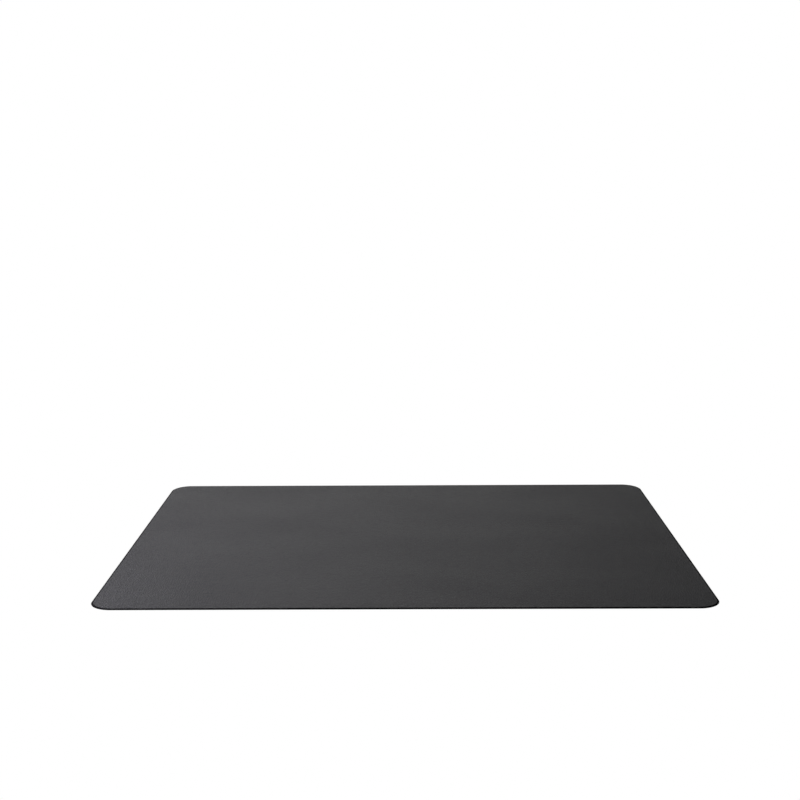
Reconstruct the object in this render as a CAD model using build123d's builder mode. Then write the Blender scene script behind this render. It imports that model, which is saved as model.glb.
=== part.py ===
"""Rectangular office chair mat for hard floors, a laminate of vinyl plies in a bevelled edge band.

Bottom to top: a grip backing, a dense core sheet, a laid yarn scrim that stops the mat from
stretching, and the embossed wear sheet that casters roll on. The edge band is a separate
moulded ring around all four sides. Its tongue is welded in between the backing and the scrim,
and its bevel lets casters roll on and off.

Frame: millimetres, +Z up, +X along the long side, origin at the centre of the underside.
"""

import os

from build123d import *

# Overall size
mat_length = 1200.0
mat_depth = 900.0
mat_thickness = 2.0
corner_radius = 45.0

# Plies, from the floor up
backing_thickness = 0.5
core_thickness = 0.65
scrim_thickness = 0.15
wear_thickness = mat_thickness - backing_thickness - core_thickness - scrim_thickness

# Edge band section
bevel_width = 3.0
edge_lip = 0.4
band_land = 1.0
tongue_width = 8.0
band_width = bevel_width + band_land
core_inset = band_width + tongue_width

# Heights of the faces where plies meet
core_bottom = backing_thickness
scrim_bottom = core_bottom + core_thickness
wear_bottom = scrim_bottom + scrim_thickness


def outline(inset):
    """The mat's outline, drawn smaller by inset on every side, in the sketch being built."""
    return RectangleRounded(mat_length - 2 * inset, mat_depth - 2 * inset, corner_radius - inset)


# Grip backing: the anti-slip ply that lies on the floor. Its thickness includes the nubs.
with BuildPart() as grip_backing:
    with BuildSketch():
        outline(band_width)
    extrude(amount=backing_thickness)
grip_backing.part.label = "grip_backing"

# Core sheet: the dense ply that gives the mat its body. It stops short of the band's tongue.
with BuildPart() as core_sheet:
    with BuildSketch(Plane.XY.offset(core_bottom)):
        outline(core_inset)
    extrude(amount=core_thickness)
core_sheet.part.label = "core_sheet"

# Reinforcing scrim: yarns laid both ways, as one thin sheet over the core and the tongue.
with BuildPart() as reinforcing_scrim:
    with BuildSketch(Plane.XY.offset(scrim_bottom)):
        outline(band_width)
    extrude(amount=scrim_thickness)
reinforcing_scrim.part.label = "reinforcing_scrim"

# Wear sheet: the embossed top ply, flush with the band's land.
with BuildPart() as wear_sheet:
    with BuildSketch(Plane.XY.offset(wear_bottom)):
        outline(band_width)
    extrude(amount=wear_thickness)
wear_sheet.part.label = "wear_sheet"

# Edge band: a ring with a bevelled outer edge and a tongue that points inwards.
with BuildPart() as edge_band:
    with BuildSketch():
        outline(0)
    extrude(amount=mat_thickness)
    top_face = edge_band.faces().sort_by(Axis.Z)[-1]
    chamfer(
        top_face.edges(),
        length=bevel_width,
        length2=mat_thickness - edge_lip,
        reference=top_face,
    )
    with BuildSketch(Plane.XY):
        outline(band_width)
    extrude(amount=backing_thickness, mode=Mode.SUBTRACT)
    with BuildSketch(Plane.XY.offset(core_bottom)):
        outline(core_inset)
    extrude(amount=core_thickness, mode=Mode.SUBTRACT)
    with BuildSketch(Plane.XY.offset(scrim_bottom)):
        outline(band_width)
    extrude(amount=scrim_thickness + wear_thickness, mode=Mode.SUBTRACT)
edge_band.part.label = "edge_band"

os.makedirs("parts", exist_ok=True)
for piece in (grip_backing, core_sheet, reinforcing_scrim, wear_sheet, edge_band):
    export_step(piece.part, f"parts/{piece.part.label}.step")
    print(piece.part.label, round(piece.part.volume), "mm3")
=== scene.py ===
# %% [markdown]
# # A chair mat, ply by ply
#
# A chair mat is a big, thin, dark slab, and almost nothing on it has a shape that you can point
# at. What makes it look real is how light slides over its embossed top, how crisp its edge is,
# and what is underneath when somebody picks up a corner. This lesson builds those three things.
#
# The sizes were settled before we start. The design is loaded as a fixed frame, and every piece
# made here is laid into the space that its CAD part holds.

# %% Load the frame
import math

import bmesh
import bpy
from mathutils import Euler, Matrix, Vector


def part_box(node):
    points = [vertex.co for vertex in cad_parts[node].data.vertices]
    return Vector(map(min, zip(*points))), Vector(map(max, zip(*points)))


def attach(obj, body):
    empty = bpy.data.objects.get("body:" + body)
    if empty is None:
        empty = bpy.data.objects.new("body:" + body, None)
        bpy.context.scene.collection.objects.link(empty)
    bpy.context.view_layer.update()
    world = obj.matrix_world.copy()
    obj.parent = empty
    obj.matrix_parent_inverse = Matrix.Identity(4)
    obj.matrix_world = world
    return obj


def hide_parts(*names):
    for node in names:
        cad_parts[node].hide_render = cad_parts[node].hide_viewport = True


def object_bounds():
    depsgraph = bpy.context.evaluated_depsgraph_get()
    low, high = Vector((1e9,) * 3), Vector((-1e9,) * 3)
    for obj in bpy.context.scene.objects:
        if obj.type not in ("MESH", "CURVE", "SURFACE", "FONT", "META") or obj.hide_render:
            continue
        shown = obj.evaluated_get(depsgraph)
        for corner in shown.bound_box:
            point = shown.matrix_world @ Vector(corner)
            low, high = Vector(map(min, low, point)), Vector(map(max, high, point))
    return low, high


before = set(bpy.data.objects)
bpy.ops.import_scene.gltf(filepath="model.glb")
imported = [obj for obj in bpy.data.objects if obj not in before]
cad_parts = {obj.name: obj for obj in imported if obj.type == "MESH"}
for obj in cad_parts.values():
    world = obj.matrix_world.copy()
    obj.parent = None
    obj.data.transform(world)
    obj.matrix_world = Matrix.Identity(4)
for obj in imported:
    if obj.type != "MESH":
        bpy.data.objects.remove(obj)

cad_low, cad_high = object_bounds()
MM = 0.001
print("CAD box:", [round(side / MM, 2) for side in cad_high - cad_low], "mm")

# %% [markdown]
# ## Measure, don't guess
#
# A good habit is to read sizes off the frame instead of typing them again. If the mat is ever
# redesigned, the looks then follow. The band's mesh tells us the corner radius, because its
# straight side ends where the corner starts. It also tells us how tall the lip is and how wide
# the bevel is. The boxes of the other plies give the heights at which they meet.

# %% Read the sizes off the plies
half_length, half_depth, top = cad_high
touch = 0.01 * MM
band_points = [corner.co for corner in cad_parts["edge_band"].data.vertices]
side_points = [p for p in band_points if p.x > half_length - touch]
corner_radius = half_depth - max(p.y for p in side_points)
lip_height = max(p.z for p in side_points)
bevel_width = half_length - max(p.x for p in band_points if p.z > top - touch)

band_width = half_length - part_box("wear_sheet")[1].x
core_inset = half_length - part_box("core_sheet")[1].x
core_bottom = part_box("core_sheet")[0].z
scrim_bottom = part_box("reinforcing_scrim")[0].z
wear_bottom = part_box("wear_sheet")[0].z
print("corner radius", round(corner_radius / MM, 2), "lip", round(lip_height / MM, 2))
print("bevel", round(bevel_width / MM, 2), "band", round(band_width / MM, 2), "mm")

# %% [markdown]
# ## Small helpers
#
# Node trees get long when every node takes five lines. `add` puts in one node, and takes its
# inputs as a table from socket name to either a plain value or another node's socket. The same
# helper serves Geometry Nodes and shaders. The four after it are the steps that come back in
# nearly every tree: a bit of arithmetic, a change of range, a noise, and a vector times a number.

# %% Helpers for objects and nodes
def add_object(name, data):
    """A new object in the scene that holds this mesh, curve, light or camera."""
    made = bpy.data.objects.new(name, data)
    bpy.context.scene.collection.objects.link(made)
    return made


def add(tree, kind, inputs=(), **settings):
    """One node. Each input is a value to set, or a socket of another node to link."""
    node = tree.nodes.new(kind)
    for name, value in settings.items():
        setattr(node, name, value)
    for name, value in dict(inputs).items():
        if isinstance(value, bpy.types.NodeSocket):
            tree.links.new(value, node.inputs[name])
        else:
            node.inputs[name].default_value = value
    return node


# %% Helpers for arithmetic, ranges and noise
def calculate(tree, operation, *values):
    """One step of arithmetic. Returns the socket that holds the answer."""
    return add(tree, "ShaderNodeMath", enumerate(values), operation=operation).outputs[0]


def remap(tree, value, start, stop, low=0.0, high=1.0, kind="LINEAR"):
    """Turns start to stop into low to high, and holds still beyond both ends."""
    ends = {"From Min": start, "From Max": stop, "To Min": low, "To Max": high}
    node = add(tree, "ShaderNodeMapRange", {"Value": value} | ends, interpolation_type=kind)
    return node.outputs[0]


def noise(tree, place, scale, detail=2.0, roughness=0.5):
    """The outputs of a noise texture."""
    inputs = {"Vector": place, "Scale": scale, "Detail": detail, "Roughness": roughness}
    return add(tree, "ShaderNodeTexNoise", inputs).outputs


def scaled(tree, vector, factor):
    """A vector times a number."""
    inputs = {"Vector": vector, "Scale": factor}
    return add(tree, "ShaderNodeVectorMath", inputs, operation="SCALE").outputs["Vector"]


# %% [markdown]
# ## Shared finishes, part 1: the pebble emboss
#
# Mat vinyl leaves the calender between two steel rolls. The top roll is etched with a pebble
# grain, like the grain of a football: rounded islands a few millimetres across, with narrow
# valleys between them. Modelling every pebble would take millions of faces, so it belongs in
# the shader as a height that a Bump node reads.
#
# Voronoi cells are the natural choice. Their distance to the nearest edge is zero in a valley
# and rises inside a pebble. Two things stop them from looking like a diagram: a little noise
# bends the cell walls, and a slower noise makes the pebbles uneven in height. A third noise,
# about one pebble wide, is put out as a mask of its own. A satin finish is never quite even
# from one pebble to the next, and that mottling still shows from across a room, when the
# pebbles themselves are too small to see.

# %% A shader group for the pebble grain
WALL_NOISE = 1.7
CROWD_NOISE = 0.45
TONE_NOISE = 1.2
MEAN_HEIGHT = 0.8
NOISE_RANGE = (0.3, 0.7)


def shader_group(name, inputs, outputs):
    """An empty shader group with named inputs and outputs, and its input and output nodes."""
    group = bpy.data.node_groups.new(name, "ShaderNodeTree")
    for title, (kind, value) in inputs.items():
        socket = group.interface.new_socket(
            title, in_out="INPUT", socket_type="NodeSocket" + kind
        )
        if value is not None:
            socket.default_value = value
    for title in outputs:
        group.interface.new_socket(title, in_out="OUTPUT", socket_type="NodeSocketFloat")
    return group, add(group, "NodeGroupInput").outputs, add(group, "NodeGroupOutput").inputs


def pebble_group():
    """Puts out the height of a pebble grain, a mask of its valleys, and a mottling."""
    sizes = {
        "Vector": ("Vector", None),
        "Pebble Size": ("Float", 5 * MM),
        "Valley Width": ("Float", 0.25),
        "Wall Bend": ("Float", 0.35),
        "Unevenness": ("Float", 2.4),
    }
    group, given, out = shader_group("pebble_grain", sizes, ("Height", "Valley", "Mottling"))
    place = scaled(group, given["Vector"], calculate(group, "DIVIDE", 1.0, given["Pebble Size"]))

    bend = noise(group, place, WALL_NOISE, detail=1.0)["Color"]
    middle_grey = (0.5, 0.5, 0.5)
    shift = add(group, "ShaderNodeVectorMath", {0: bend, 1: middle_grey}, operation="SUBTRACT")
    shift = scaled(group, shift.outputs[0], given["Wall Bend"])
    bent = add(group, "ShaderNodeVectorMath", {0: place, 1: shift}, operation="ADD")
    walls = add(
        group,
        "ShaderNodeTexVoronoi",
        {"Vector": bent.outputs[0], "Scale": 1.0, "Randomness": 0.9},
        feature="DISTANCE_TO_EDGE",
    )
    from_wall = walls.outputs["Distance"]
    island = remap(group, from_wall, 0.0, given["Valley Width"], kind="SMOOTHERSTEP")

    crowd = calculate(group, "SUBTRACT", noise(group, place, CROWD_NOISE)["Fac"], 0.5)
    uneven = calculate(group, "MULTIPLY", crowd, given["Unevenness"])
    tall = calculate(group, "ADD", MEAN_HEIGHT, uneven)
    mottling = remap(group, noise(group, place, TONE_NOISE)["Fac"], *NOISE_RANGE)
    group.links.new(calculate(group, "MULTIPLY", island, tall), out["Height"])
    group.links.new(calculate(group, "SUBTRACT", 1.0, island), out["Valley"])
    group.links.new(mottling, out["Mottling"])
    return group


pebble_grain = pebble_group()
print("pebble grain:", len(pebble_grain.nodes), "nodes")

# %% [markdown]
# ## Shared finishes, part 2: calender clouds
#
# No rolled sheet has exactly the same gloss all over. Heat and pressure drift, so it shows
# faint clouds, drawn out along the direction in which it left the rolls. The effect is only a
# few percent, but without it a large surface looks like a render. One group makes the clouds
# for the wear sheet, the backing and the band, each with its own size.

# %% A shader group for calender clouds
def cloud_group():
    """Puts out a soft mask of clouds, drawn out along X."""
    sizes = {
        "Vector": ("Vector", None),
        "Cloud Size": ("Float", 0.12),
        "Draw": ("Float", 2.0),
    }
    group, given, out = shader_group("calender_clouds", sizes, ("Mask",))
    along = calculate(group, "DIVIDE", 1.0, given["Cloud Size"])
    drawn = calculate(group, "DIVIDE", along, given["Draw"])
    stretch = add(group, "ShaderNodeCombineXYZ", {"X": drawn, "Y": along, "Z": along})
    both = {0: given["Vector"], 1: stretch.outputs[0]}
    place = add(group, "ShaderNodeVectorMath", both, operation="MULTIPLY").outputs[0]
    cloud = noise(group, place, 1.0, detail=3.0, roughness=0.45)["Fac"]
    group.links.new(remap(group, cloud, *NOISE_RANGE, kind="SMOOTHSTEP"), out["Mask"])
    return group


calender_clouds = cloud_group()
print("calender clouds:", len(calender_clouds.nodes), "nodes")

# %% [markdown]
# ## Shared finishes, part 3: fine dust
#
# A black mat shows every speck. Dust collects where nothing wipes it off, so the group takes a
# mask of where it may lie and breaks it up with two noises, a slow one for drifts and a fast
# one for the specks themselves.

# %% A shader group for dust
DRIFTS_PER_METRE = 9.0
DRIFT_RANGE = (0.35, 0.75)
SPECK_RANGE = (0.45, 0.7)


def dust_group():
    """Puts out a mask of dust where it is allowed to lie."""
    sizes = {
        "Vector": ("Vector", None),
        "Where": ("Float", 1.0),
        "Amount": ("Float", 0.5),
        "Speck Size": ("Float", 0.6 * MM),
    }
    group, given, out = shader_group("fine_dust", sizes, ("Mask",))
    fine = calculate(group, "DIVIDE", 1.0, given["Speck Size"])
    specks = noise(group, given["Vector"], fine)["Fac"]
    drifts = noise(group, given["Vector"], DRIFTS_PER_METRE, detail=4.0, roughness=0.6)["Fac"]
    specks = remap(group, specks, *SPECK_RANGE)
    lying = calculate(group, "MULTIPLY", remap(group, drifts, *DRIFT_RANGE), specks)
    lying = calculate(group, "MULTIPLY", lying, given["Where"])
    lying = calculate(group, "MULTIPLY", lying, given["Amount"])
    group.links.new(lying, out["Mask"])
    return group


fine_dust = dust_group()
print("fine dust:", len(fine_dust.nodes), "nodes")

# %% [markdown]
# ## The wear vinyl
#
# The top is soft PVC, filled with carbon black. It isn't glossy and it isn't dull: seen from
# across a room, at a low angle, it carries a broad sheen. A Principled shader with a roughness
# a little under a half does that. The flanks of the pebbles tilt the surface by some fifteen
# degrees, which breaks the sheen into a fine, restless grain.
#
# Dust lies in the valleys between the pebbles and lifts their colour very slightly.

# %% Helpers for materials
def new_material(name, roughness, specular=0.5):
    """A material with its own Principled shader, and the piece's own coordinates."""
    made = bpy.data.materials.new(name)
    made.use_nodes = True
    tree = made.node_tree
    shader = tree.nodes["Principled BSDF"]
    shader.inputs["Roughness"].default_value = roughness
    shader.inputs["Specular IOR Level"].default_value = specular
    return made, tree, shader.inputs, add(tree, "ShaderNodeTexCoord").outputs["Object"]


def use_group(tree, group, inputs):
    """Places a shared group in a material, with this material's own values."""
    return add(tree, "ShaderNodeGroup", inputs, node_tree=group).outputs


def blend_colours(tree, mask, first, second):
    """A mix of two colours, or of a colour and another mix."""
    node = add(tree, "ShaderNodeMix", data_type="RGBA")
    tree.links.new(mask, node.inputs["Factor"])
    for socket, value in ((node.inputs[6], first), (node.inputs[7], second)):
        if isinstance(value, bpy.types.NodeSocket):
            tree.links.new(value, socket)
        else:
            socket.default_value = (*value, 1.0)
    return node.outputs[2]


def spread(tree, mask, low, high):
    """Turns a mask of 0 to 1 into a value from low to high."""
    return remap(tree, mask, 0.0, 1.0, low, high)


def tilt_by(tree, shader, height, strength, depth):
    """Lets a height tilt the surface, as deep as depth where the height goes from 0 to 1."""
    inputs = {"Height": height, "Strength": strength, "Distance": depth}
    relief = add(tree, "ShaderNodeBump", inputs).outputs["Normal"]
    tree.links.new(relief, shader["Normal"])


# %% The embossed wear vinyl
PEBBLE_SIZE = 5.0 * MM
PEBBLE_HEIGHT = 0.42 * MM
CHARCOAL = (0.0190, 0.0190, 0.0195)
PALE_CHARCOAL = (0.0340, 0.0340, 0.0350)
DUST_GREY = (0.16, 0.155, 0.15)
SATIN = (0.40, 0.43)
DULLER_WHEN_PALE = 0.03
DULLER_IN_VALLEYS = 0.1


def wear_vinyl_material():
    """Embossed soft PVC with a satin sheen."""
    made, tree, shader, place = new_material("embossed_vinyl", SATIN[1])
    grain = use_group(tree, pebble_grain, {"Vector": place, "Pebble Size": PEBBLE_SIZE})
    clouds = use_group(tree, calender_clouds, {"Vector": place, "Cloud Size": 0.16})
    settled = {"Vector": place, "Where": grain["Valley"], "Amount": 0.1}
    dust = use_group(tree, fine_dust, settled)
    vinyl = blend_colours(tree, grain["Mottling"], CHARCOAL, PALE_CHARCOAL)
    tree.links.new(blend_colours(tree, dust["Mask"], vinyl, DUST_GREY), shader["Base Color"])
    sheen = spread(tree, clouds["Mask"], *SATIN)
    sheen = calculate(tree, "MULTIPLY_ADD", grain["Mottling"], DULLER_WHEN_PALE, sheen)
    sheen = calculate(tree, "MULTIPLY_ADD", grain["Valley"], DULLER_IN_VALLEYS, sheen)
    tree.links.new(sheen, shader["Roughness"])
    tilt_by(tree, shader, grain["Height"], 1.0, PEBBLE_HEIGHT)
    return made


wear_vinyl = wear_vinyl_material()
print("wear vinyl:", len(wear_vinyl.node_tree.nodes), "nodes")

# %% [markdown]
# ## The band vinyl
#
# The rim is moulded, not rolled, so it has no emboss. Its mould is blasted, which leaves a dead
# matt, sandy skin. The band is black vinyl, and its colour is made darker still, close to no
# colour at all. That extra darkness is painted shade, the shade that falls on the edge, and it
# draws the thin dark line round the mat. A very dark colour alone wouldn't do: at a low angle
# anything with a normal gloss turns pale, so the gloss has to be weak as well as rough.

# %% The matt band vinyl, darkened with painted shade
# Both colours are black vinyl and painted shade of the edge together, darker than the vinyl
# alone.
BAND_BLACK_AND_PAINTED_SHADE = (0.0030, 0.0030, 0.0032)
BAND_GREY_AND_PAINTED_SHADE = (0.0050, 0.0050, 0.0052)


def band_vinyl_and_painted_shade_material():
    """The moulded rim: unembossed black vinyl, dead matt and slightly sandy, darker with painted
    shade.
    """
    made, tree, shader, place = new_material("matt_band_vinyl_and_painted_shade", 0.7, specular=0.1)
    clouds = use_group(tree, calender_clouds, {"Vector": place, "Cloud Size": 0.05})
    # The band's colour is black vinyl with painted shade of the edge on top.
    vinyl = blend_colours(tree, clouds["Mask"], BAND_BLACK_AND_PAINTED_SHADE, BAND_GREY_AND_PAINTED_SHADE)
    tree.links.new(vinyl, shader["Base Color"])
    tree.links.new(spread(tree, clouds["Mask"], 0.66, 0.74), shader["Roughness"])
    sand = noise(tree, place, 2500.0, detail=1.0)["Fac"]
    tilt_by(tree, shader, sand, 0.5, 0.03 * MM)
    return made


band_vinyl = band_vinyl_and_painted_shade_material()
print("band vinyl:", len(band_vinyl.node_tree.nodes), "nodes")

# %% [markdown]
# ## The backing vinyl
#
# The floor side is softer and tackier than the top. Only the tips of its nubs ever touch the
# floor, and the floor polishes them. A mask of wear could be painted, but here the height says
# it all: whatever lies within a tenth of a millimetre of the floor is rubbed dark and smooth,
# and everything above it stays dull and takes dust.

# %% The tacky backing vinyl
TIP_HEIGHTS = (0.02 * MM, 0.1 * MM)
BACKING_BLACK = (0.018, 0.018, 0.019)
BACKING_GREY = (0.026, 0.026, 0.027)
RUBBED_BLACK = (0.012, 0.012, 0.0125)
SMOOTHER_AT_TIPS = -0.35


def backing_vinyl_material():
    """The floor side: soft, tacky vinyl with a blasted skin, rubbed smooth where nubs stand."""
    made, tree, shader, place = new_material("tacky_backing_vinyl", 0.75, specular=0.4)
    clouds = use_group(tree, calender_clouds, {"Vector": place, "Cloud Size": 0.09})
    height = add(tree, "ShaderNodeSeparateXYZ", {0: place}).outputs["Z"]
    raised = remap(tree, height, *TIP_HEIGHTS)
    rubbed = calculate(tree, "SUBTRACT", 1.0, raised)
    dust = use_group(tree, fine_dust, {"Vector": place, "Where": raised, "Amount": 0.25})
    vinyl = blend_colours(tree, clouds["Mask"], BACKING_BLACK, BACKING_GREY)
    vinyl = blend_colours(tree, rubbed, vinyl, RUBBED_BLACK)
    tree.links.new(blend_colours(tree, dust["Mask"], vinyl, DUST_GREY), shader["Base Color"])
    matt = spread(tree, clouds["Mask"], 0.7, 0.8)
    matt = calculate(tree, "MULTIPLY_ADD", rubbed, SMOOTHER_AT_TIPS, matt)
    tree.links.new(matt, shader["Roughness"])
    tilt_by(tree, shader, noise(tree, place, 1400.0)["Fac"], 0.7, 0.06 * MM)
    return made


backing_vinyl = backing_vinyl_material()
print("backing vinyl:", len(backing_vinyl.node_tree.nodes), "nodes")

# %% [markdown]
# ## The core vinyl and the yarn
#
# These two are sealed in, and show only when the mat is cut. The core is dense vinyl, part of
# it reground from offcuts, and the lighter grains in it are small Voronoi cells of which only
# the centres are kept. The scrim is polyester. Its filaments are far too fine to model, so a
# diagonal wave stands for their twist, in the colour and in the bump.

# %% The flecked core vinyl and the polyester yarn
def core_vinyl_material():
    """Dense filled vinyl, part of it reground, so that it is flecked with lighter grains."""
    made, tree, shader, place = new_material("flecked_core_vinyl", 0.65, specular=0.4)
    cells = add(tree, "ShaderNodeTexVoronoi", {"Vector": place, "Scale": 420.0})
    fleck = remap(tree, cells.outputs["Distance"], 0.12, 0.3, 1.0, 0.0)
    vinyl = blend_colours(tree, fleck, (0.045, 0.045, 0.047), (0.11, 0.11, 0.112))
    tree.links.new(vinyl, shader["Base Color"])
    return made


def scrim_yarn_material():
    """Polyester yarn: off-white, with the fine twist of its filaments."""
    made, tree, shader, place = new_material("polyester_yarn", 0.6, specular=0.5)
    waves = {"Vector": place, "Scale": 900.0, "Distortion": 1.5}
    twist = add(tree, "ShaderNodeTexWave", waves, bands_direction="DIAGONAL").outputs["Fac"]
    yarn = blend_colours(tree, twist, (0.62, 0.61, 0.57), (0.78, 0.77, 0.74))
    tree.links.new(yarn, shader["Base Color"])
    tilt_by(tree, shader, twist, 0.6, 0.02 * MM)
    return made


core_vinyl = core_vinyl_material()
scrim_yarn = scrim_yarn_material()
for finish in (core_vinyl, scrim_yarn):
    print(finish.name, len(finish.node_tree.nodes), "nodes")

# %% [markdown]
# ## The wear sheet
#
# A flat sheet with a rounded outline is easy to fake with one big face, but one face gives the
# rim nothing to turn on, and the emboss needs clean coordinates. It is built from rings
# instead. Each ring is the mat's outline drawn a little smaller, always with the same number of
# points, so that neighbouring rings can be joined by plain four-sided faces. The outermost
# rings follow a quarter circle, which is the soft edge where the knife cut the sheet. The
# innermost ring closes on a line, and doubles are merged there.
#
# The sheet also gets a map for baking. A map seen straight from above would squash the wall of
# the sheet to nothing, so each ring is laid out further by as much as it lies lower.

# %% Rings of a rounded sheet
CORNER_STEPS = 10
LONG_STEPS = 92
SHORT_STEPS = 68


def outline(inset, radius):
    """A rounded rectangle inside the mat's edge, anticlockwise, always with as many points."""
    right = half_length - inset - radius
    back = half_depth - inset - radius
    centres = [(right, back), (-right, back), (-right, -back), (right, -back)]
    points = []
    for quarter, (x, y) in enumerate(centres):
        for step in range(CORNER_STEPS + 1):
            turn = math.radians(90 * (quarter + step / CORNER_STEPS))
            points.append(Vector((x + radius * math.cos(turn), y + radius * math.sin(turn))))
        corner_end = points[-1]
        turn = math.radians(90 * (quarter + 1))
        next_x, next_y = centres[(quarter + 1) % 4]
        next_start = Vector((next_x + radius * math.cos(turn), next_y + radius * math.sin(turn)))
        steps = (LONG_STEPS, SHORT_STEPS)[quarter % 2]
        points += [corner_end.lerp(next_start, step / steps) for step in range(1, steps)]
    return points


def rim_rings(inset, low, high, soften, arc_steps=4):
    """(inset, radius, height) of the rings up the wall of a sheet and over its softened rim."""
    rings = [(inset, corner_radius - inset, low)]
    for step in range(arc_steps + 1):
        turn = math.radians(90 * step / arc_steps)
        further = inset + soften * (1 - math.cos(turn))
        height = high - soften + soften * math.sin(turn)
        rings.append((further, corner_radius - further, height))
    return rings


def face_rings(inset, high, spacing):
    """(inset, radius, height) of the rings across a sheet, from near its rim to its middle."""
    radius = corner_radius - inset
    count = round((half_depth - inset) / spacing)
    insets = [inset + (half_depth - inset) * step / count for step in range(count + 1)]
    return [(i, min(radius, half_depth - i), high) for i in insets]


print("ring:", len(outline(0, corner_radius)), "points")

# %% Where a point lies on the map
MAP_EDGE = 0.01
FACE_SHARE = 0.84
BAKE_MAP = "OFBake"


def map_place(point):
    """Where a point lies on the detailed side's part of the map, seen straight along Z."""
    u = 0.5 + (0.5 - MAP_EDGE) * point.x / half_length
    v = 0.5 + (0.5 - MAP_EDGE) * point.y / half_depth
    return u, FACE_SHARE * v


def hidden_place(point):
    """The same for the hidden side, which gets the strip that is left over."""
    u, v = map_place(point)
    return u, FACE_SHARE + (1 - FACE_SHARE) * v / FACE_SHARE


middle_u, middle_v = map_place(Vector((0.0, 0.0)))
print("the middle maps to", round(middle_u, 2), round(middle_v, 2))

# %% Skin the rings
SHARP_FROM = math.radians(40)


def sheet_mesh(name, rings, flip):
    """Skins rings into a closed sheet, with one face across its hidden side.

    flip turns the sheet over, so that the detailed side looks down. Its map gives the detailed
    side most of the square, with the wall unfolded round it, and the hidden side the rest.
    """
    mesh = bpy.data.meshes.new(name)
    work = bmesh.new()
    layer = work.loops.layers.uv.new(BAKE_MAP)
    face_level = rings[-1][2]
    wall_foot = rings[0][2]
    places, unfolded = [], {}
    for inset, radius, height in rings:
        drop = face_level - height
        ring = [work.verts.new((*point, height)) for point in outline(inset, radius)]
        unfolded.update(zip(ring, outline(inset - drop, radius + drop)))
        places.append(ring)
    for outer, inner in zip(places, places[1:]):
        for here, ahead in zip(range(len(outer)), [*range(1, len(outer)), 0]):
            work.faces.new((outer[here], outer[ahead], inner[ahead], inner[here]))
    hidden = work.faces.new(reversed(places[0]))
    for face in work.faces:
        place = hidden_place if face is hidden else map_place
        for loop in face.loops:
            loop[layer].uv = place(unfolded[loop.vert])
    bmesh.ops.remove_doubles(work, verts=places[-1], dist=touch)
    if flip:
        for vert in work.verts:
            vert.co.z = wall_foot + face_level - vert.co.z
        bmesh.ops.reverse_faces(work, faces=work.faces)
    for face in work.faces:
        face.smooth = True
    work.to_mesh(mesh)
    volume = work.calc_volume(signed=True)
    work.free()
    mesh.set_sharp_from_angle(angle=SHARP_FROM)
    print(name, len(mesh.polygons), "faces,", round(volume * 1e6, 1), "cm3")
    return mesh


# %% Make the wear sheet
RIM_SOFTENING = 0.22 * MM
RING_SPACING = 12 * MM
FIRST_RING = 0.4 * MM

rim = rim_rings(band_width, wear_bottom, top, RIM_SOFTENING)
across = face_rings(rim[-1][0] + FIRST_RING, top, RING_SPACING)
wear_sheet = add_object(
    "embossed_wear_sheet", sheet_mesh("embossed_wear_sheet", rim + across, flip=False)
)
wear_sheet.data.materials.append(wear_vinyl)

# %% [markdown]
# ## The edge band
#
# The band is one profile swept round the mat's outline. That is a rule, so Geometry Nodes
# suit it: a rectangle curve, filleted to the corner radius, carries a closed profile with
# Curve to Mesh. Change the profile or the outline, and the band follows. Three helpers come
# first, which start a tree, finish it, and run it.
#
# The profile is drawn as the moulder would draw it: a low lip, the bevel that lets a caster
# climb on, a narrow flat land, and the tongue that is welded in between the plies. Every
# outside corner gets a small arc, because no moulded edge is knife sharp, and those arcs are
# what catch the light.

# %% Helpers for Geometry Nodes
def geometry_tree(name, inputs):
    """An empty tree with its named inputs, and its input and output nodes."""
    tree = bpy.data.node_groups.new(name, "GeometryNodeTree")
    face = tree.interface
    face.new_socket("Geometry", in_out="INPUT", socket_type="NodeSocketGeometry")
    face.new_socket("Geometry", in_out="OUTPUT", socket_type="NodeSocketGeometry")
    for title, kind in inputs.items():
        face.new_socket(title, in_out="INPUT", socket_type="NodeSocket" + kind)
    start = tree.nodes.new("NodeGroupInput")
    end = tree.nodes.new("NodeGroupOutput")
    return tree, start.outputs, end.inputs["Geometry"]


def finish_tree(tree, given, end, geometry):
    """Turns instances into a real mesh, gives it the material, and ends the tree."""
    whole = add(tree, "GeometryNodeRealizeInstances", {"Geometry": geometry}).outputs[0]
    dress = {"Geometry": whole, "Material": given["Material"]}
    dressed = add(tree, "GeometryNodeSetMaterial", dress).outputs[0]
    tree.links.new(dressed, end)


def run_tree(name, base, tree, values):
    """Runs a tree on a mesh or curve, and keeps the result as a plain mesh in a new object."""
    identifiers = {s.name: s.identifier for s in tree.interface.items_tree if s.in_out == "INPUT"}
    holder = add_object(name + "_base", base)
    modifier = holder.modifiers.new("nodes", "NODES")
    modifier.node_group = tree
    for title, value in values.items():
        modifier[identifiers[title]] = value
    graph = bpy.context.evaluated_depsgraph_get()
    mesh = bpy.data.meshes.new_from_object(holder.evaluated_get(graph), depsgraph=graph)
    holder.modifiers.remove(modifier)
    bpy.data.objects.remove(holder)
    mesh.materials.clear()
    mesh.materials.append(values["Material"])
    made = add_object(name, mesh)
    mesh.name = name
    print(name, len(mesh.vertices), "points,", len(mesh.polygons), "faces")
    return made


# %% Draw the band's profile
def rounded_path(corners, arc_steps=4):
    """Points of a closed outline, with an arc at each corner that has a radius."""
    points = []
    for index, (corner, radius) in enumerate(corners):
        here = Vector(corner)
        back = (Vector(corners[index - 1][0]) - here).normalized()
        ahead = (Vector(corners[(index + 1) % len(corners)][0]) - here).normalized()
        if radius == 0:
            points.append(here)
            continue
        half = back.angle(ahead) / 2
        centre = here + (back + ahead).normalized() * radius / math.sin(half)
        start = here + back * radius / math.tan(half) - centre
        end = here + ahead * radius / math.tan(half) - centre
        for step in range(arc_steps + 1):
            points.append(centre + start.slerp(end, step / arc_steps) * radius)
    return points


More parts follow.
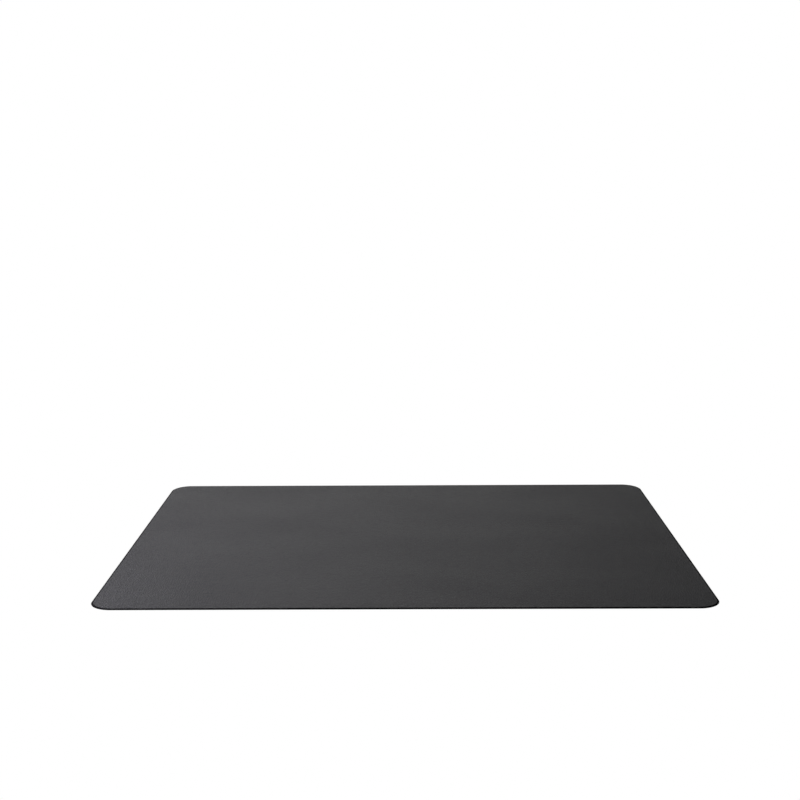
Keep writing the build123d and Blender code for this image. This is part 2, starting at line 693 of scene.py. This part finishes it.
HIDDEN_RADIUS = 0.1 * MM
LAND_RADIUS = 0.8 * MM
LIP_RADIUS = 0.25 * MM
BAND_CORNERS = [
    ((0.0, 0.0), HIDDEN_RADIUS),
    ((band_width, 0.0), HIDDEN_RADIUS),
    ((band_width, core_bottom), 0.0),
    ((core_inset, core_bottom), HIDDEN_RADIUS),
    ((core_inset, scrim_bottom), HIDDEN_RADIUS),
    ((band_width, scrim_bottom), 0.0),
    ((band_width, top), RIM_SOFTENING),
    ((bevel_width, top), LAND_RADIUS),
    ((0.0, lip_height), LIP_RADIUS),
]


def profile_curve(name, points):
    """A closed curve to sweep. Curve to Mesh turns its X outwards and its Y downwards."""
    curve = bpy.data.curves.new(name, "CURVE")
    curve.dimensions = "3D"
    spline = curve.splines.new("POLY")
    spline.points.add(len(points) - 1)
    for target, point in zip(spline.points, points):
        target.co = (-point.x, -point.y, 0.0, 1.0)
    spline.use_cyclic_u = True
    return curve


profile = profile_curve("band_profile", rounded_path(BAND_CORNERS))
print("band profile:", len(profile.splines[0].points), "points")

# %% Sweep it round the mat
def band_tree():
    """Sweeps the profile that it is given round a rounded rectangle."""
    sizes = {"Length": "Float", "Depth": "Float", "Corner Radius": "Float"}
    sizes |= {"Corner Steps": "Int", "Material": "Material"}
    tree, given, end = geometry_tree("swept_band", sizes)
    sides = {"Width": given["Length"], "Height": given["Depth"]}
    path = add(tree, "GeometryNodeCurvePrimitiveQuadrilateral", sides).outputs[0]
    rounding = {"Curve": path, "Radius": given["Corner Radius"], "Count": given["Corner Steps"]}
    path = add(tree, "GeometryNodeFilletCurve", rounding, mode="POLY").outputs[0]
    sweep = {"Curve": path, "Profile Curve": given["Geometry"]}
    swept = add(tree, "GeometryNodeCurveToMesh", sweep).outputs[0]
    finish_tree(tree, given, end, swept)
    return tree


band_sizes = {
    "Length": 2 * half_length,
    "Depth": 2 * half_depth,
    "Corner Radius": corner_radius,
    "Corner Steps": 28,
    "Material": band_vinyl,
}
edge_band = run_tree("bevelled_edge_band", profile, band_tree(), band_sizes)
edge_band.data.set_sharp_from_angle(angle=SHARP_FROM)

# %% [markdown]
# ## The reinforcing scrim
#
# Vinyl creeps, and a mat without reinforcement grows and curls. A laid scrim stops that: two
# layers of flat polyester yarns, one along the mat and one across it, glued where they cross
# and never woven. Each yarn is cut where the rounded outline ends, so a yarn near the long
# edge is shorter than one in the middle. That length is a formula, and so it is a good exercise
# in fields: the tree lays out one point for each yarn, works out half the chord of the outline
# there, and stretches a short flat rod to fit.

# %% How long each yarn is
def chord(tree, offset, half_along, half_across, radius):
    """Half the length of the rounded outline along a line that is offset from its middle."""
    beyond = calculate(tree, "SUBTRACT", calculate(tree, "ABSOLUTE", offset), half_across)
    beyond = calculate(tree, "MAXIMUM", calculate(tree, "ADD", beyond, radius), 0.0)
    radius_squared = calculate(tree, "POWER", radius, 2.0)
    beyond_squared = calculate(tree, "POWER", beyond, 2.0)
    square = calculate(tree, "SUBTRACT", radius_squared, beyond_squared)
    reach = calculate(tree, "SQRT", calculate(tree, "MAXIMUM", square, 0.0))
    return calculate(tree, "ADD", calculate(tree, "SUBTRACT", half_along, radius), reach)


# %% Lay the yarns
YARN_SIDES = 8


def yarn_layer(tree, given, across_axis):
    """One layer of yarns. across_axis is the axis along which the yarns follow each other."""
    half = {
        "X": calculate(tree, "MULTIPLY", given["Length"], 0.5),
        "Y": calculate(tree, "MULTIPLY", given["Depth"], 0.5),
    }
    along_axis = "Y" if across_axis == "X" else "X"
    room = calculate(tree, "SUBTRACT", half[across_axis], given["Yarn Width"])
    count = calculate(tree, "DIVIDE", calculate(tree, "MULTIPLY", room, 2.0), given["Pitch"])
    count = calculate(tree, "ADD", calculate(tree, "FLOOR", count), 1.0)
    back_up = calculate(tree, "MULTIPLY", calculate(tree, "SUBTRACT", count, 1.0), -0.5)
    first = calculate(tree, "MULTIPLY", back_up, given["Pitch"])
    level = 0.5 if across_axis == "Y" else 1.5
    height = calculate(tree, "MULTIPLY_ADD", given["Yarn Thickness"], level, given["Bottom"])
    start = add(tree, "ShaderNodeCombineXYZ", {across_axis: first, "Z": height})
    step = add(tree, "ShaderNodeCombineXYZ", {across_axis: given["Pitch"]})
    row = {"Count": count, "Start Location": start.outputs[0], "Offset": step.outputs[0]}
    points = add(tree, "GeometryNodeMeshLine", row).outputs[0]
    here = add(tree, "GeometryNodeInputPosition").outputs[0]
    offset = add(tree, "ShaderNodeSeparateXYZ", {0: here}).outputs[across_axis]
    radius = given["Corner Radius"]
    size = {
        along_axis: chord(tree, offset, half[along_axis], half[across_axis], radius),
        across_axis: given["Yarn Width"],
        "Z": given["Yarn Thickness"],
    }
    stretch = add(tree, "ShaderNodeCombineXYZ", size).outputs[0]
    unit_rod = {"Vertices": YARN_SIDES, "Radius": 0.5, "Depth": 2.0}
    rod = add(tree, "GeometryNodeMeshCylinder", unit_rod).outputs[0]
    upright = math.radians(90)
    lying = (0.0, upright, 0.0) if along_axis == "X" else (upright, 0.0, 0.0)
    rod = add(tree, "GeometryNodeTransform", {"Geometry": rod, "Rotation": lying}).outputs[0]
    copies = {"Points": points, "Instance": rod, "Scale": stretch}
    return add(tree, "GeometryNodeInstanceOnPoints", copies).outputs[0]


def scrim_tree():
    """Two layers of flat yarns, laid at right angles and cut to the rounded outline."""
    sizes = {"Length": "Float", "Depth": "Float", "Corner Radius": "Float"}
    sizes |= {"Bottom": "Float", "Pitch": "Float", "Yarn Width": "Float"}
    sizes |= {"Yarn Thickness": "Float", "Material": "Material"}
    tree, given, end = geometry_tree("laid_scrim", sizes)
    both = add(tree, "GeometryNodeJoinGeometry")
    for axis in ("X", "Y"):
        tree.links.new(yarn_layer(tree, given, axis), both.inputs[0])
    finish_tree(tree, given, end, both.outputs[0])
    return tree


YARN_PITCH = 6 * MM
YARN_WIDTH = 1.0 * MM
scrim_sizes = {
    "Length": 2 * (half_length - band_width),
    "Depth": 2 * (half_depth - band_width),
    "Corner Radius": corner_radius - band_width,
    "Bottom": scrim_bottom,
    "Pitch": YARN_PITCH,
    "Yarn Width": YARN_WIDTH,
    "Yarn Thickness": (wear_bottom - scrim_bottom) / 2,
    "Material": scrim_yarn,
}
empty_base = bpy.data.meshes.new("no_base")
scrim = run_tree("laid_yarn_scrim", empty_base, scrim_tree(), scrim_sizes)

# %% [markdown]
# ## The grip backing
#
# Turn the mat over and you find a thin film with thousands of low nubs. They keep the mat from
# skating and let air out when it is laid down. Rows are staggered like the holes of a strainer,
# and none of them sits within a few millimetres of the edge.
#
# A nub is repeated thousands of times, so it has only eight sides. The tree lays a grid of
# points, shifts every second row by half a pitch, deletes the points that fall outside the
# rounded outline, and puts a nub on each one that is left.

# %% Plan the nubs
NUB_SIDES = 8
NUB_TAPER = 0.7


def nub_tree():
    """Adds staggered rows of nubs, which stand on the floor plane, to the film it is given."""
    sizes = {"Length": "Float", "Depth": "Float", "Corner Radius": "Float"}
    sizes |= {"Pitch": "Float", "Nub Radius": "Float", "Nub Height": "Float"}
    sizes |= {"Margin": "Float", "Material": "Material"}
    tree, given, end = geometry_tree("staggered_nubs", sizes)
    row_gap = calculate(tree, "MULTIPLY", given["Pitch"], math.sin(math.radians(60)))

    def whole_steps(length, gap):
        """How many whole steps of gap fit in length, and the length that they take."""
        steps = calculate(tree, "FLOOR", calculate(tree, "DIVIDE", length, gap))
        return calculate(tree, "ADD", steps, 1.0), calculate(tree, "MULTIPLY", steps, gap)

    columns, wide = whole_steps(given["Length"], given["Pitch"])
    rows, deep = whole_steps(given["Depth"], row_gap)
    spans = {"Size X": wide, "Size Y": deep, "Vertices X": columns, "Vertices Y": rows}
    grid = add(tree, "GeometryNodeMeshGrid", spans).outputs["Mesh"]
    here = add(tree, "GeometryNodeInputPosition").outputs[0]
    at = add(tree, "ShaderNodeSeparateXYZ", {0: here})
    from_front = calculate(tree, "MULTIPLY_ADD", deep, 0.5, at.outputs["Y"])
    row = calculate(tree, "ROUND", calculate(tree, "DIVIDE", from_front, row_gap))
    odd = calculate(tree, "SUBTRACT", calculate(tree, "MODULO", row, 2.0), 0.5)
    shift = calculate(tree, "MULTIPLY", odd, calculate(tree, "MULTIPLY", given["Pitch"], 0.5))
    offset = add(tree, "ShaderNodeCombineXYZ", {"X": shift}).outputs[0]
    moved = {"Geometry": grid, "Offset": offset}
    staggered = add(tree, "GeometryNodeSetPosition", moved).outputs[0]

    def past_corner(axis, size):
        """How far a point lies past the centre of the nearest corner, along one axis."""
        straight = calculate(tree, "MULTIPLY", size, 0.5)
        straight = calculate(tree, "SUBTRACT", straight, given["Corner Radius"])
        far = calculate(tree, "ABSOLUTE", at.outputs[axis])
        return calculate(tree, "MAXIMUM", calculate(tree, "SUBTRACT", far, straight), 0.0)

    x_past = calculate(tree, "POWER", past_corner("X", given["Length"]), 2.0)
    y_past = calculate(tree, "POWER", past_corner("Y", given["Depth"]), 2.0)
    far = calculate(tree, "SQRT", calculate(tree, "ADD", x_past, y_past))
    limit = calculate(tree, "SUBTRACT", given["Corner Radius"], given["Margin"])
    outside = calculate(tree, "GREATER_THAN", far, limit)
    cut = {"Geometry": staggered, "Selection": outside}
    kept = add(tree, "GeometryNodeDeleteGeometry", cut).outputs[0]
    frustum = {
        "Vertices": NUB_SIDES,
        "Radius Top": given["Nub Radius"],
        "Radius Bottom": calculate(tree, "MULTIPLY", given["Nub Radius"], NUB_TAPER),
        "Depth": given["Nub Height"],
    }
    nub = add(tree, "GeometryNodeMeshCone", frustum).outputs["Mesh"]
    copies = {"Points": kept, "Instance": nub}
    nubs = add(tree, "GeometryNodeInstanceOnPoints", copies).outputs[0]
    both = add(tree, "GeometryNodeJoinGeometry")
    tree.links.new(nubs, both.inputs[0])
    tree.links.new(given["Geometry"], both.inputs[0])
    finish_tree(tree, given, end, both.outputs[0])
    return tree


staggered_nubs = nub_tree()
print("nub tree:", len(staggered_nubs.nodes), "nodes")

# %% Set the nubs on the film
NUB_HEIGHT = 0.25 * MM
NUB_EMBEDDED = 0.02 * MM
FILM_SOFTENING = 0.08 * MM

film_rim = rim_rings(band_width, NUB_HEIGHT, core_bottom, FILM_SOFTENING)
film_across = face_rings(film_rim[-1][0] + FIRST_RING, core_bottom, 2 * RING_SPACING)
film = sheet_mesh("backing_film", film_rim + film_across, flip=True)
film_corners = len(film.loops)
nub_sizes = {
    "Length": 2 * (half_length - band_width),
    "Depth": 2 * (half_depth - band_width),
    "Corner Radius": corner_radius - band_width,
    "Pitch": 16 * MM,
    "Nub Radius": 2.5 * MM,
    "Nub Height": NUB_HEIGHT + NUB_EMBEDDED,
    "Margin": 6 * MM,
    "Material": backing_vinyl,
}
grip_backing = run_tree("studded_grip_backing", film, staggered_nubs, nub_sizes)
grip_backing.data.set_sharp_from_angle(angle=SHARP_FROM)

# The film brought its map along. The nubs take their places on it, seen straight from below.
nub_map = grip_backing.data.uv_layers[BAKE_MAP]
for loop in grip_backing.data.loops[film_corners:]:
    place = grip_backing.data.vertices[loop.vertex_index].co
    nub_map.uv[loop.index].vector = map_place(place)
print("mapped", len(grip_backing.data.loops) - film_corners, "corners of nubs")

# %% [markdown]
# ## The core sheet
#
# The core is a plain slab with straight cut edges, sealed in on every side. The CAD mesh
# already has exactly that shape, so it stays, and only gets its material.

# %% Dress the core
core_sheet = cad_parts["core_sheet"]
core_sheet.data.materials.clear()
core_sheet.data.materials.append(core_vinyl)
print("core sheet:", len(core_sheet.data.polygons), "faces")

# %% [markdown]
# ## Tie the pieces to the frame
#
# Nothing on a mat moves against anything else, so every piece rides on the one body, and the CAD
# part that it stands for is hidden. The table gives, for each CAD part, the piece that stands for
# it and the name of its finish in the record.

# %% Ride and replace
pieces = {
    "wear_sheet": (wear_sheet, "wear_vinyl"),
    "edge_band": (edge_band, "band_vinyl"),
    "reinforcing_scrim": (scrim, "scrim_yarn"),
    "grip_backing": (grip_backing, "backing_vinyl"),
}
for node, (piece, finish) in pieces.items():
    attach(piece, "root")
    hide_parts(node)

# %% [markdown]
# ## The camera
#
# The mat is seen from sitting height, a little over two metres in front of its edge, with a
# short telephoto lens. The horizon isn't quite level, so the camera is rolled by a third of a
# degree after it has been tipped down and turned.

# %% Place the camera
SENSOR_MM = 36.0
LENS_MM = 55.33
TILT = math.radians(79.068)
TURN = math.radians(0.533)
ROLL = math.radians(-0.359)
FROM_EDGE = 2.193
EYE_HEIGHT = 0.8242
SIDEWAYS = 0.0146

camera_data = bpy.data.cameras.new("camera")
camera_data.sensor_width = SENSOR_MM
camera_data.lens = LENS_MM
camera = add_object("camera", camera_data)
aim = Euler((TILT, 0.0, TURN)).to_matrix()
roll = Euler((0.0, 0.0, ROLL)).to_matrix()
camera.rotation_euler = (aim @ roll).to_euler()
camera.location = (SIDEWAYS, -half_depth - FROM_EDGE, EYE_HEIGHT)
bpy.context.scene.camera = camera
print("camera", round((camera.location - Vector((0.0, -half_depth, 0.0))).length, 2), "m away")

# %% [markdown]
# ## The floor
#
# The floor is pale and plain, and it shines evenly, the way a light table does. The mat is
# then read against a clean background, and its outline stays crisp. Only the camera sees the
# floor: it neither lights the mat nor shows up in its sheen. From below it is clear, so that
# the grip side can be looked at as well.

# %% Lay the floor
FLOOR_REACH = 30.0
FLOOR_LEVEL = -0.2 * MM


def studio_floor():
    """A pale floor that only the camera sees, and only from above."""
    mesh = bpy.data.meshes.new("floor")
    signs = ((-1, -1), (1, -1), (1, 1), (-1, 1))
    corners = [(x * FLOOR_REACH, y * FLOOR_REACH, FLOOR_LEVEL) for x, y in signs]
    mesh.from_pydata(corners, [], [(0, 1, 2, 3)])
    floor = add_object("floor", mesh)
    made, tree, shader, place = new_material("pale_floor", 1.0, specular=0.0)
    shader["Base Color"].default_value = (0.0, 0.0, 0.0, 1.0)
    shader["Emission Color"].default_value = (1.0, 1.0, 1.0, 1.0)
    shader["Emission Strength"].default_value = 1.0
    lit = tree.nodes["Principled BSDF"].outputs[0]
    clear = add(tree, "ShaderNodeBsdfTransparent").outputs[0]
    behind = add(tree, "ShaderNodeNewGeometry").outputs["Backfacing"]
    split = add(tree, "ShaderNodeMixShader", {0: behind, 1: lit, 2: clear})
    tree.links.new(split.outputs[0], tree.nodes["Material Output"].inputs["Surface"])
    mesh.materials.append(made)
    for rays in ("diffuse", "glossy", "transmission", "shadow"):
        setattr(floor, "visible_" + rays, False)
    return floor


print("floor at", round(studio_floor().data.vertices[0].co.z / MM, 2), "mm")

# %% [markdown]
# ## The light
#
# A dark satin sheet has hardly any colour of its own to show. Nearly all that we see of it is
# what it mirrors, blurred by its roughness. So the way to light it is to decide what stands
# across from the camera. Here that is a bright wall, low behind the mat and to its left, that
# fades out to the right. The fading wall is what gives the mat its slow gradient.
#
# The wall is a world whose strength depends on the direction of the ray. It ends at the
# horizon and well below the zenith, and so the bevel of the front edge, which mirrors the
# zenith, stays black. It also ends at the far left, because a black mat that is seen from the
# right, at a low angle, would look like brushed steel in front of it. The second, weak glow,
# deep below the horizon, is there for the grip side.

# %% Build the wall of light
WALL_LEVEL = 0.96
WALL_X = (-0.15, 0.47)
WALL_LEFT_END = (-0.55, -0.95)
WALL_HEIGHT = (0.2, 0.8)
HORIZON = (0.02, -0.03)
ROOM_LEVEL = 0.03
BELOW_LEVEL = 0.35
BELOW_HEIGHT = (-0.6, -0.05)
WHITE = (1.0, 1.0, 1.0, 1.0)


def wall_of_light():
    """A world that is white to the camera, and a fading wall of light to everything else."""
    world = bpy.data.worlds.new("studio")
    bpy.context.scene.world = world
    world.use_nodes = True
    sky = world.node_tree
    sky.nodes.clear()
    ray = add(sky, "ShaderNodeTexCoord").outputs["Generated"]
    aim_at = add(sky, "ShaderNodeSeparateXYZ", {0: ray}).outputs

    def fade(value, start, stop):
        """1 before start, 0 after stop, and smooth in between."""
        return remap(sky, value, start, stop, 1.0, 0.0, "SMOOTHSTEP")

    across = fade(aim_at["X"], *WALL_X)
    across = calculate(sky, "MULTIPLY", across, fade(aim_at["X"], *WALL_LEFT_END))
    upwards = fade(aim_at["Z"], *WALL_HEIGHT)
    horizon = fade(aim_at["Z"], *HORIZON)
    bright = calculate(sky, "MULTIPLY", calculate(sky, "MULTIPLY", across, upwards), horizon)
    strength = calculate(sky, "MULTIPLY_ADD", bright, WALL_LEVEL, ROOM_LEVEL)
    below = fade(aim_at["Z"], *BELOW_HEIGHT)
    strength = calculate(sky, "MULTIPLY_ADD", below, BELOW_LEVEL, strength)
    wall = add(sky, "ShaderNodeBackground", {"Color": WHITE, "Strength": strength})
    seen = add(sky, "ShaderNodeBackground", {"Color": WHITE, "Strength": 1.0})
    straight = add(sky, "ShaderNodeLightPath").outputs["Is Camera Ray"]
    choice = {0: straight, 1: wall.outputs[0], 2: seen.outputs[0]}
    both = add(sky, "ShaderNodeMixShader", choice)
    add(sky, "ShaderNodeOutputWorld", {"Surface": both.outputs[0]})
    return world


print("world:", len(wall_of_light().node_tree.nodes), "nodes")

# %% [markdown]
# ## Three lamps
#
# A wall of light alone is soft from every side and leaves the emboss without shadows. A small
# window, high on the left, gives it a direction and brings out the pebbles, and its light is
# slightly violet, as light from the sky is. A weak fill stands at the front right, for whoever
# walks round to the back. The third lamp lies low beneath the mat, and rakes over the nubs.

# %% Hang the lamps
def softbox(name, place, aim_at, size, radiance, tint=(1.0, 1.0, 1.0)):
    """A soft rectangular light that faces a point, and that the camera doesn't see."""
    data = bpy.data.lights.new(name, "AREA")
    data.shape = "RECTANGLE"
    data.size, data.size_y = size
    data.energy = math.pi * data.size * data.size_y * radiance
    data.color = tint
    light = add_object(name, data)
    light.location = place
    towards = Vector(aim_at) - Vector(place)
    light.rotation_euler = towards.to_track_quat("-Z", "Y").to_euler()
    light.visible_camera = False
    print(name, round(data.energy, 1), "W")
    return light


left = -half_length
middle = (0.0, 0.0, 0.0)
softbox(
    "window",
    place=(2 * left, 0.1, 0.9),
    aim_at=(left / 2, -0.1, 0.0),
    size=(0.6, 0.5),
    radiance=8.4,
    tint=(0.82, 0.77, 1.0),
)
softbox("fill", place=(1.9, -1.9, 1.5), aim_at=middle, size=(1.6, 1.2), radiance=1.0)
softbox("under", place=(-1.9, 1.3, -0.5), aim_at=middle, size=(0.9, 0.5), radiance=18.0)

# %% [markdown]
# ## The colours
#
# Blender's usual view transform bends bright and dark tones the way film does. Here the plain
# one is used instead, so that the white floor stays white and the black rim stays black.

# %% Show the colours as they are
view = bpy.context.scene.view_settings
view.view_transform = "Standard"
view.look = "None"
view.exposure = 0.0
view.gamma = 1.0
print("view transform:", view.view_transform)
